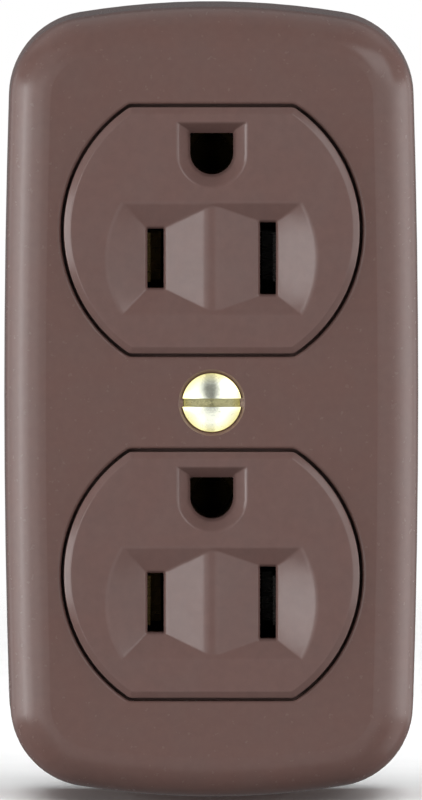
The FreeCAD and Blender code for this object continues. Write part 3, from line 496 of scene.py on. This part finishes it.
def bar(width, length):
    """Outline of a straight driver slot across a head."""
    reach, half = length / 2, width / 2
    return [(-reach, -half), (reach, -half), (reach, half), (-reach, half)]


def cross(width, length):
    """Outline of a cross recess."""
    reach, half = length / 2, width / 2
    arm = [(reach, -half), (reach, half), (half, half)]
    return [(x * math.cos(turn) - y * math.sin(turn), x * math.sin(turn) + y * math.cos(turn))
            for turn in (0, math.pi / 2, math.pi, 1.5 * math.pi) for x, y in arm]


def drive_cutter(outline, depth, top):
    """Block of the given outline that cuts a screw's drive, from above the head down to a depth."""
    mesh = bmesh.new()
    lower, upper = ([mesh.verts.new((x * MM, y * MM, height * MM)) for x, y in outline]
                    for height in (top - depth, top + 1))
    for index in range(len(outline)):
        after = (index + 1) % len(outline)
        mesh.faces.new((lower[index], lower[after], upper[after], upper[index]))
    mesh.faces.new(lower[::-1])
    mesh.faces.new(upper)
    data = bpy.data.meshes.new("drive_cut")
    mesh.to_mesh(data)
    mesh.free()
    return bpy.data.objects.new("drive_cut", data)


def make_screw(name, node, mesh, out, cut, turn=0.0):
    """Stand a turned screw on its node's axis; out is the way its head faces, cut the drive's block."""
    data = bpy.data.meshes.new(name)
    bmesh.ops.recalc_face_normals(mesh, faces=mesh.faces)
    mesh.to_mesh(data)
    mesh.free()
    work = bpy.data.objects.new(name, data)
    bpy.context.scene.collection.objects.link(work)
    bpy.context.scene.collection.objects.link(cut)
    drive = work.modifiers.new("drive", "BOOLEAN")
    drive.object = cut
    drive.operation = "DIFFERENCE"
    drive.solver = "EXACT"
    graph = bpy.context.evaluated_depsgraph_get()
    result = bmesh.new()
    result.from_object(work, graph)
    for thing in (work, cut):
        bpy.data.objects.remove(thing)
    low, high = box(node)
    middle = (low + high) / 2
    out = Vector(out)
    foot = Vector([low[axis] if out[axis] > 0 else high[axis] if out[axis] < 0 else middle[axis]
                   for axis in range(3)])
    spin = out.to_track_quat("Z", "Y").to_matrix()
    place = Matrix.Translation(foot * MM) @ spin.to_4x4() @ Matrix.Rotation(turn, 4, "Z")
    bmesh.ops.transform(result, matrix=place, verts=result.verts)
    piece = make_piece(name, result, body_of(node), sharp=38)
    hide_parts(node)
    return piece


def body_of(node):
    """The moving body that holds a CAD node."""
    for body, nodes in frame["record"]["behaviour"]["bodies"].items():
        if node in nodes:
            return body
    return "root"


TOP_RADIUS = 0.02
HEAD_EDGE = 0.13


def dome(height, radius, crown, rings=14):
    """Points up a round crown, from the edge of a head to its middle."""
    sphere = (radius ** 2 + crown ** 2) / (2 * crown)
    edge = math.asin(radius / sphere)
    return [(height + crown - sphere * (1 - math.cos(turn)), max(sphere * math.sin(turn), TOP_RADIUS))
            for turn in steps(edge, 0, rings)]


def round_top(height, radius, corner, rings=6):
    """Points up the side of a flat head, round its top edge and in to its middle."""
    rows = [(height - corner + corner * math.sin(turn), radius - corner + corner * math.cos(turn))
            for turn in steps(0, math.pi / 2, rings)]
    return rows + [(height, (radius - corner) * share) for share in (0.66, 0.33, TOP_RADIUS)]


def make_cover_screw():
    """Oval countersunk head with a crowned top, a small round edge and one driver slot."""
    head, shank, crown, slot_width, slot_depth = 3.4, 1.7, 0.85, 0.97, 1.1
    low, high = box("cover_screw")
    total = high.y - low.y
    rim = total - crown
    neck = rim - (head - shank) / math.tan(math.radians(41))
    top = [(neck, shank), (rim - 0.06, head - 0.06), (rim - 0.02, head - 0.01), (rim + 0.05, head - 0.02),
           (rim + 0.1, head - 0.06)] + dome(rim + HEAD_EDGE, head - HEAD_EDGE,
                                                   crown - HEAD_EDGE)
    profile = screw_profile(neck, shank, 0.6, 1.6, top, 0.79)
    mesh = turned(profile, 72, (0.2, neck - 1.4, 0.79, 0.38))
    cut = drive_cutter(bar(slot_width, 3 * head), slot_depth, total)
    return make_screw("cover_screw_brass", "cover_screw", mesh, (0, -1, 0), cut)


def make_terminal_screw(node, out):
    """Binding head with a round top edge and one driver slot, for one wire."""
    head, shank, height = 3.9, 2.08, 2.3
    low, high = box(node)
    total = max(abs(axis * size) for axis, size in zip(out, high - low))
    neck = total - height
    top = [(neck, shank), (neck + 0.25, shank + 0.1), (neck, head - 0.25), (neck + 0.15, head)]
    profile = screw_profile(neck, shank, 0.6, 0.4, top + round_top(total, head, 0.6), 0.79)
    mesh = turned(profile, 56, (0.2, neck - 0.3, 0.79, 0.4))
    cut = drive_cutter(bar(1.1, 3 * head), 1.1, total)
    return make_screw(node + "_binding_head", node, mesh, out, cut, turn=0.35)


def make_assembly_screw(node):
    """Pan head with a cross recess, at the back."""
    head, shank, height = 2.7, 1.45, 1.7
    low, high = box(node)
    total = high.y - low.y
    neck = total - height
    top = [(neck, shank), (neck + 0.02, head - 0.1), (neck + 0.1, head)]
    profile = screw_profile(neck, shank, 0.6, 1.2, top + round_top(total, head, 0.5), 1.0)
    mesh = turned(profile, 48, (0.2, neck - 1.0, 1.0, 0.35))
    cut = drive_cutter(cross(0.7, 3.0), 1.0, total)
    return make_screw(node + "_pan_head", node, mesh, (0, 1, 0), cut, turn=0.4)


# ---------------------------------------------------------------- node graph helpers

class Graph:
    """A material's node tree, with short calls for the nodes that the materials share."""

    def __init__(self, name):
        self.material = bpy.data.materials.new(name)
        self.material.use_nodes = True
        self.tree = self.material.node_tree
        self.tree.nodes.clear()
        self.output = self.add("ShaderNodeOutputMaterial")
        self.surface = self.add("ShaderNodeBsdfPrincipled")
        self.link(self.surface, "BSDF", self.output, "Surface")
        self.place = self.add("ShaderNodeTexCoord")

    def add(self, kind, **values):
        """New node with some of its inputs or settings filled in by name."""
        node = self.tree.nodes.new(kind)
        for key, value in values.items():
            if key in node.inputs:
                node.inputs[key].default_value = value
            else:
                setattr(node, key, value)
        return node

    def link(self, source, output, target, entry):
        self.tree.links.new(source.outputs[output], target.inputs[entry])

    def noise(self, scale, detail=3.0, roughness=0.5, stretch=None):
        """Noise in object space; scale is in cells a metre."""
        node = self.add("ShaderNodeTexNoise", Scale=scale, Detail=detail, Roughness=roughness)
        source = (self.place, "Object")
        if stretch:
            mapping = self.add("ShaderNodeMapping", Scale=stretch)
            self.link(*source, mapping, "Vector")
            source = (mapping, "Vector")
        self.link(*source, node, "Vector")
        return node

    def ramp(self, source, output, stops):
        """Colour ramp through (position, value) or (position, colour) stops."""
        node = self.add("ShaderNodeValToRGB")
        ends = node.color_ramp.elements
        while len(ends) < len(stops):
            ends.new(0.5)
        for end, (position, value) in zip(ends, stops):
            end.position = position
            end.color = (*value, 1) if isinstance(value, tuple) else (value, value, value, 1)
        self.link(source, output, node, "Fac")
        return node

    def mix(self, factor, first, second, blend="MIX"):
        """Colour mix; factor, first and second are numbers, colours or (node, output) pairs."""
        node = self.add("ShaderNodeMix", data_type="RGBA", blend_type=blend)
        for index, item in ((0, factor), (6, first), (7, second)):
            entry = node.inputs[index]
            if isinstance(item, tuple) and isinstance(item[0], bpy.types.Node):
                self.tree.links.new(item[0].outputs[item[1]], entry)
            elif index == 0:
                entry.default_value = item
            else:
                entry.default_value = (*item, 1)
        return node, 2

    def colour(self, mixed):
        """Use a mixed colour as the surface's own."""
        self.tree.links.new(mixed[0].outputs[mixed[1]], self.surface.inputs["Base Color"])

    def bump(self, height, output, strength, distance, below=None):
        """Bump from a height, on top of another bump if one is given."""
        node = self.add("ShaderNodeBump", Strength=strength, Distance=distance)
        self.link(height, output, node, "Height")
        if below:
            self.link(below, "Normal", node, "Normal")
        return node


def linear(red, green, blue):
    """Scene-linear colour of an 8-bit display colour."""
    def one(value):
        value /= 255
        return value / 12.92 if value <= 0.04045 else ((value + 0.055) / 1.055) ** 2.4
    return one(red), one(green), one(blue)


# ---------------------------------------------------------------- materials

def moulded(name, colour, gloss, grain=0.12):
    """Moulded plastic: faint colour mottle, fine moulded skin and a soft sheen, with painted shade in
    crevices and gaps: darker colour and weaker reflection where ambient occlusion is high.
    """
    graph = Graph(name)
    mottle = graph.noise(900, detail=4, roughness=0.6)
    shade = graph.ramp(mottle, "Fac", [(0.3, 0.96), (0.7, 1.04)])
    tint = graph.mix(1.0, colour, (shade, "Color"), "MULTIPLY")
    warm = graph.noise(220, detail=2)
    drift = graph.ramp(warm, "Fac", [(0.35, (1.0, 0.98, 0.97)), (0.65, (0.98, 1.0, 1.0))])
    tint = graph.mix(1.0, tint, (drift, "Color"), "MULTIPLY")
    # Painted shade: ambient occlusion darkens the colour in crevices, gaps and recesses.
    crevice = graph.add("ShaderNodeAmbientOcclusion", Distance=0.0005, samples=6)
    crevice_shade = graph.ramp(crevice, "AO", [(0.02, 0.04), (0.32, 1.0)])
    tint = graph.mix(1.0, tint, (crevice_shade, "Color"), "MULTIPLY")
    graph.colour(tint)
    # Painted shade on the reflection: the specular level drops where ambient occlusion is high.
    sheen = graph.ramp(crevice, "AO", [(0.02, 0.1), (0.3, 0.5)])
    graph.link(sheen, "Color", graph.surface, "Specular IOR Level")
    rough = graph.noise(1400, detail=5)
    spread = graph.ramp(rough, "Fac", [(0.3, gloss - 0.03), (0.7, gloss + 0.04)])
    graph.link(spread, "Color", graph.surface, "Roughness")
    graph.surface.inputs["IOR"].default_value = 1.5
    skin = graph.noise(3400, detail=3)
    fine = graph.bump(skin, "Fac", grain, 0.00002)
    waves = graph.noise(150, detail=1)
    soft = graph.bump(waves, "Fac", 0.12, 0.00006, below=fine)
    graph.link(soft, "Normal", graph.surface, "Normal")
    return graph.material


def metal(name, colour, roughness, scratch=0.25, stretch=(1, 1, 12), shaded_within=None, shade_share=0.4):
    """Plated or bare sheet metal with fine drawn lines and a little tarnish.

    The last two arguments give a distance to each side of the outlet's middle, in millimetres, and a
    share:
    inside that distance the colour is darkened to that share, as painted shade on the contacts behind the
    slots.
    """
    graph = Graph(name)
    tarnish = graph.noise(700, detail=4, roughness=0.65)
    dark = tuple(value * 0.7 for value in colour)
    blend = graph.ramp(tarnish, "Fac", [(0.35, 0.0), (0.75, 0.5)])
    tint = graph.mix((blend, "Color"), colour, dark)
    # Painted shade: darker colour near the outlet's middle, where the contacts sit in shade behind the
    # slots and hole.
    if shaded_within:
        split = graph.add("ShaderNodeSeparateXYZ")
        graph.link(graph.place, "Object", split, 0)
        out = graph.add("ShaderNodeMath", operation="ABSOLUTE")
        graph.link(split, "X", out, 0)
        reach = graph.add("ShaderNodeMath", operation="DIVIDE")
        graph.link(out, "Value", reach, 0)
        reach.inputs[1].default_value = 2 * shaded_within * MM
        inner = graph.ramp(reach, "Value", [(0.45, shade_share), (0.55, 1.0)])
        tint = graph.mix(1.0, tint, (inner, "Color"), "MULTIPLY")
    graph.colour(tint)
    graph.surface.inputs["Metallic"].default_value = 1.0
    lines = graph.noise(500, detail=4, stretch=stretch)
    spread = graph.ramp(lines, "Fac", [(0.3, roughness * 0.8), (0.7, roughness * 1.25)])
    graph.link(spread, "Color", graph.surface, "Roughness")
    rise = graph.bump(lines, "Fac", scratch, 0.00002)
    graph.link(rise, "Normal", graph.surface, "Normal")
    return graph.material


TURNING_RINGS = 300.0


def turned_metal(name, colour, roughness, axis, rim=None, deep=None):
    """Turned metal: fine rings about the piece's own axis, small tarnish spots and a worn sheen.

    rim is the colour that the metal takes on towards its edge, deep a tint below the crown of the head.
    """
    graph = Graph(name)
    flat = [0.0 if direction == axis else 1.0 for direction in "XYZ"]
    centre = graph.add("ShaderNodeVectorMath", operation="SUBTRACT")
    graph.link(graph.place, "Generated", centre, 0)
    centre.inputs[1].default_value = (0.5, 0.5, 0.5)
    across = graph.add("ShaderNodeVectorMath", operation="MULTIPLY")
    graph.link(centre, "Vector", across, 0)
    across.inputs[1].default_value = flat
    reach = graph.add("ShaderNodeVectorMath", operation="LENGTH")
    graph.link(across, "Vector", reach, 0)
    wobble = graph.noise(1500, detail=3)
    turn = graph.add("ShaderNodeMath", operation="MULTIPLY_ADD")
    graph.link(reach, "Value", turn, 0)
    turn.inputs[1].default_value = TURNING_RINGS
    graph.link(wobble, "Fac", turn, 2)
    rings = graph.add("ShaderNodeMath", operation="SINE")
    graph.link(turn, "Value", rings, 0)
    spots = graph.noise(2600, detail=4, roughness=0.7)
    stain = graph.ramp(spots, "Fac", [(0.58, 0.0), (0.75, 0.6)])
    outward = graph.ramp(reach, "Value", [(0.33, colour), (0.49, rim or colour)])
    shade = (outward, "Color")
    if deep:
        split = graph.add("ShaderNodeSeparateXYZ")
        graph.link(graph.place, "Generated", split, 0)
        below = graph.ramp(split, axis, [(0.066, (1.0, 1.0, 1.0)), (0.08, deep)])
        shade = graph.mix(1.0, shade, (below, "Color"), "MULTIPLY")
    dark = graph.mix(1.0, shade, (0.55, 0.55, 0.5), "MULTIPLY")
    graph.colour(graph.mix((stain, "Color"), shade, dark))
    graph.surface.inputs["Metallic"].default_value = 1.0
    spread = graph.ramp(spots, "Fac", [(0.3, roughness * 0.85), (0.7, roughness * 1.3)])
    graph.link(spread, "Color", graph.surface, "Roughness")
    fine = graph.bump(rings, "Value", 0.18, 0.00001)
    dents = graph.bump(spots, "Fac", 0.2, 0.00002, below=fine)
    graph.link(dents, "Normal", graph.surface, "Normal")
    return graph.material


def dress(material, *pieces):
    for piece in pieces:
        piece = NODES[piece] if isinstance(piece, str) else piece
        piece.data.materials.clear()
        piece.data.materials.append(material)


# ---------------------------------------------------------------- the pieces and their materials

face = make_face()
cover_screw = make_cover_screw()
LEFT, RIGHT, DOWN = (-1, 0, 0), (1, 0, 0), (0, 0, -1)
TERMINALS = {
    "hot_terminal_screw_upper": (LEFT, "screw_brass"),
    "hot_terminal_screw_lower": (LEFT, "screw_brass"),
    "neutral_terminal_screw_upper": (RIGHT, "nickel_plate"),
    "neutral_terminal_screw_lower": (RIGHT, "nickel_plate"),
    "ground_terminal_screw": (DOWN, "green_screw"),
}
terminals = {node: make_terminal_screw(node, out) for node, (out, _) in TERMINALS.items()}
assembly_screws = [make_assembly_screw(node) for node in ("assembly_screw_upper", "assembly_screw_lower")]

BROWN_COVER = (0.287, 0.170, 0.150)
BROWN_FACE = (0.262, 0.159, 0.143)
BLACK = (0.012, 0.011, 0.010)
# The cover screw's middle colour is partly its pale brass and partly a painted highlight: near white, to
# copy the glare of the dome's reflections; the rim colour is a yellower brass.
SCREW_HIGHLIGHT_FACE, SCREW_RIM, SCREW_SLOT = (0.91, 0.93, 0.78), (0.86, 0.78, 0.36), (0.85, 0.78, 0.5)
BRASS = (0.62, 0.42, 0.16)
NICKEL = (0.62, 0.60, 0.56)
ZINC = (0.5, 0.51, 0.54)
GREEN = (0.02, 0.22, 0.06)
dress(moulded("brown_cover", BROWN_COVER, 0.24), "cover")
dress(moulded("brown_face", BROWN_FACE, 0.22), face)
dress(moulded("black_moulding", BLACK, 0.45, 0.3), "base", "receptacle_body")
# Painted highlight: the cover screw's head is near white in the middle and a yellower brass at its edge.
dress(turned_metal("screw_brass", SCREW_HIGHLIGHT_FACE, 0.16, "Y", rim=SCREW_RIM, deep=SCREW_SLOT), cover_screw)
dress(turned_metal("terminal_brass", linear(236, 205, 140), 0.2, "X"),
      terminals["hot_terminal_screw_upper"], terminals["hot_terminal_screw_lower"])
dress(turned_metal("terminal_nickel", NICKEL, 0.2, "X"),
      terminals["neutral_terminal_screw_upper"], terminals["neutral_terminal_screw_lower"])
dress(turned_metal("green_screw", GREEN, 0.25, "Z"), terminals["ground_terminal_screw"])
dress(turned_metal("zinc_screw", ZINC, 0.3, "Y"), *assembly_screws)
dress(metal("nut_brass", linear(225, 195, 130), 0.25), "cover_screw_nut")
# Painted shade: the buses and ground cups are darkened near the outlet's middle, behind the slots and the
# ground hole.
dress(metal("contact_brass", BRASS, 0.3, shaded_within=12, shade_share=0.45), "hot_bus")
dress(metal("cup_brass", BRASS, 0.3, shaded_within=20, shade_share=0.04),
      "ground_contact_upper", "ground_contact_lower")
# Painted shade: the rivets get brass darkened to a 25th, as dark as the shaded ground cups inside the
# hole.
dress(metal("rivet_brass_painted_shade", (0.025, 0.017, 0.006), 0.3), "ground_rivet_upper", "ground_rivet_lower")
dress(metal("nickel_plate", NICKEL, 0.25, shaded_within=12, shade_share=0.2), "neutral_bus")
dress(metal("zinc_steel", ZINC, 0.35), "ground_strap")
dress(moulded("fibre", (0.30, 0.07, 0.03), 0.7, 0.6), "screw_retainer")


# ---------------------------------------------------------------- floor, lights and camera

def make_world():
    """White to the camera; to everything else a dark room in front and a pale one behind."""
    world = bpy.data.worlds.new("studio")
    bpy.context.scene.world = world
    world.use_nodes = True
    tree = world.node_tree
    tree.nodes.clear()
    add, link = tree.nodes.new, tree.links.new
    output, mix = add("ShaderNodeOutputWorld"), add("ShaderNodeMixShader")
    path, place = add("ShaderNodeLightPath"), add("ShaderNodeTexCoord")
    seen, room = add("ShaderNodeBackground"), add("ShaderNodeBackground")
    split, ramp = add("ShaderNodeSeparateXYZ"), add("ShaderNodeValToRGB")
    seen.inputs["Color"].default_value = (1, 1, 1, 1)
    link(place.outputs["Generated"], split.inputs[0])
    link(split.outputs["Y"], ramp.inputs["Fac"])
    ramp.color_ramp.elements[0].color = (0.004, 0.004, 0.004, 1)
    ramp.color_ramp.elements[1].color = (0.14, 0.145, 0.15, 1)
    ramp.color_ramp.elements[1].position = 0.9
    link(ramp.outputs["Color"], room.inputs["Color"])
    link(path.outputs["Is Camera Ray"], mix.inputs[0])
    link(room.outputs[0], mix.inputs[1])
    link(seen.outputs[0], mix.inputs[2])
    link(mix.outputs[0], output.inputs["Surface"])


def around(side, rise, distance):
    """Point at a distance from the origin; side is degrees left of the front, rise degrees above it."""
    side, rise = math.radians(side), math.radians(rise)
    flat = math.cos(rise) * distance
    return -math.sin(side) * flat, -math.cos(side) * flat, math.sin(rise) * distance


def panel(name, side, rise, wide, tall, glow, only=(), distance=2.0):
    """Soft light panel that faces the origin, with its width and height in degrees as seen from there.

    A panel with a list of pieces in only lights those pieces and no others.
    """
    light = bpy.data.lights.new(name, "AREA")
    light.shape = "RECTANGLE"
    light.size, light.size_y = (2 * distance * math.tan(math.radians(angle) / 2) for angle in (wide, tall))
    light.energy = glow * math.pi * light.size * light.size_y
    lamp = bpy.data.objects.new(name, light)
    bpy.context.scene.collection.objects.link(lamp)
    lamp.visible_camera = False
    lamp.location = around(side, rise, distance)
    lamp.rotation_euler = (-Vector(lamp.location)).to_track_quat("-Z", "Y").to_euler()
    if only:
        lit = bpy.data.collections.new(name + "_lit")
        for piece in only:
            lit.objects.link(piece)
        lamp.light_linking.receiver_collection = lit


# Upright panels ring the object at its own height, side by side, with a shaded gap at the camera.
RING_STEP, RING_TALL, RING_PANELS = 15.5, 26, 7
SHADED_FRONT = 0.7


def ring_glow(side):
    """Brightness of the ring at an angle: a narrow window on the left, a broad dim one on the right."""
    middle, spread, bright, room = (76, 17, 3.4, 1.45) if side > 0 else (-90, 30, 2.1, 0.5)
    if abs(side) <= RING_STEP:
        return SHADED_FRONT
    return room + bright * math.exp(-((side - middle) / spread) ** 2)


# (degrees left, degrees up, width, height, brightness) of the cards round the cover screw's reflections;
# the last one is the dim patch in their middle.
SCREW_CARDS = ((47, 0, 60, 120, 1.15), (-40, 0, 60, 120, 1.1), (4, 55, 26, 38, 0.8), (4, -38, 26, 52, 0.8),
               (4, 12, 26, 48, 0.2))


def make_lights():
    """A ring of panels, brightest on the left, a dim ceiling, and cards that only light some pieces.

    The cards stand nearer than the ring, because panels at one place don't add up in reflections.
    """
    for place in range(1, RING_PANELS + 1):
        for side in (-place * RING_STEP, place * RING_STEP):
            panel("ring", side, 0, RING_STEP, RING_TALL, ring_glow(side))
    panel("ring_back_left", 130, 0, 28, 26, 0.6)
    panel("ring_back_right", -130, 0, 28, 26, 0.73)
    panel("high_left", 45, 28, 44, 28, 0.35)
    panel("high_right", -45, 28, 44, 28, 1.8)
    panel("low_right", -90, -28, 44, 28, 0.6)
    panel("low_front", 0, -28, 44, 28, 0.3)
    panel("ceiling", 0, 84, 90, 26, 0.22)
    panel("ceiling_back", 0, 105, 90, 16, 0.4)
    panel("ceiling_far", 0, 125, 90, 24, 0.38)
    panel("face_card", 30, 0, 15.5, 26, 2.5, only=[face], distance=1.9)
    inner = [NODES[node] for node in NODES if node not in ("cover", "cover_screw")]
    panel("back_left", 160, 25, 45, 45, 2.0, only=inner)
    panel("back_right", -155, 10, 30, 45, 1.4, only=inner)
    for card in SCREW_CARDS:
        panel("screw_card", *card, only=[cover_screw], distance=1.8)


FLOOR_GAP = 0.00005


def make_floor():
    """Pale round floor that fades out into the white background; only the camera sees it."""
    mesh = bmesh.new()
    bmesh.ops.create_circle(mesh, cap_ends=True, segments=96, radius=0.6)
    data = bpy.data.meshes.new("floor")
    mesh.to_mesh(data)
    mesh.free()
    floor = bpy.data.objects.new("floor", data)
    bpy.context.scene.collection.objects.link(floor)
    floor.location.z = LOW.z - FLOOR_GAP
    graph = Graph("floor_paper")
    speckle = graph.noise(60, detail=3)
    paper = graph.ramp(speckle, "Fac", [(0.3, 0.86), (0.7, 0.9)])
    graph.link(paper, "Color", graph.surface, "Base Color")
    graph.surface.inputs["Roughness"].default_value = 0.8
    fade = graph.add("ShaderNodeTexGradient", gradient_type="SPHERICAL")
    scale = graph.add("ShaderNodeMapping", Scale=(1.7, 1.7, 1.7))
    graph.link(graph.place, "Object", scale, "Vector")
    graph.link(scale, "Vector", fade, "Vector")
    cover = graph.ramp(fade, "Fac", [(0.0, 0.0), (0.45, 1.0)])
    path = graph.add("ShaderNodeLightPath")
    seen = graph.add("ShaderNodeMath", operation="MULTIPLY")
    graph.link(cover, "Color", seen, 0)
    graph.link(path, "Is Camera Ray", seen, 1)
    graph.link(seen, "Value", graph.surface, "Alpha")
    floor.data.materials.append(graph.material)
    panel("floor_light", 0, 60, 60, 60, 4.0, only=[floor], distance=2.2)


def make_camera():
    """Long lens at the front, a little above square on, framing the object's height tightly.

    The lens fits the object at the depth where its outline is widest, with a small margin.
    """
    distance, side, rise = 2.0, 0.1, 1.6
    widest, margin = 0.0276, 1.0027
    camera = bpy.data.cameras.new("camera")
    camera.lens = camera.sensor_width * (distance - widest) / ((HIGH.z - LOW.z) * margin)
    camera.clip_start = 0.1
    eye = bpy.data.objects.new("camera", camera)
    bpy.context.scene.collection.objects.link(eye)
    aim = Vector((-0.03 * MM, 0, -0.6 * MM))
    eye.location = aim + Vector(around(side, rise, distance))
    eye.rotation_euler = (aim - eye.location).to_track_quat("-Z", "Y").to_euler()
    bpy.context.scene.camera = eye


make_world()
make_lights()
make_floor()
make_camera()
bpy.context.scene.view_settings.view_transform = "Standard"
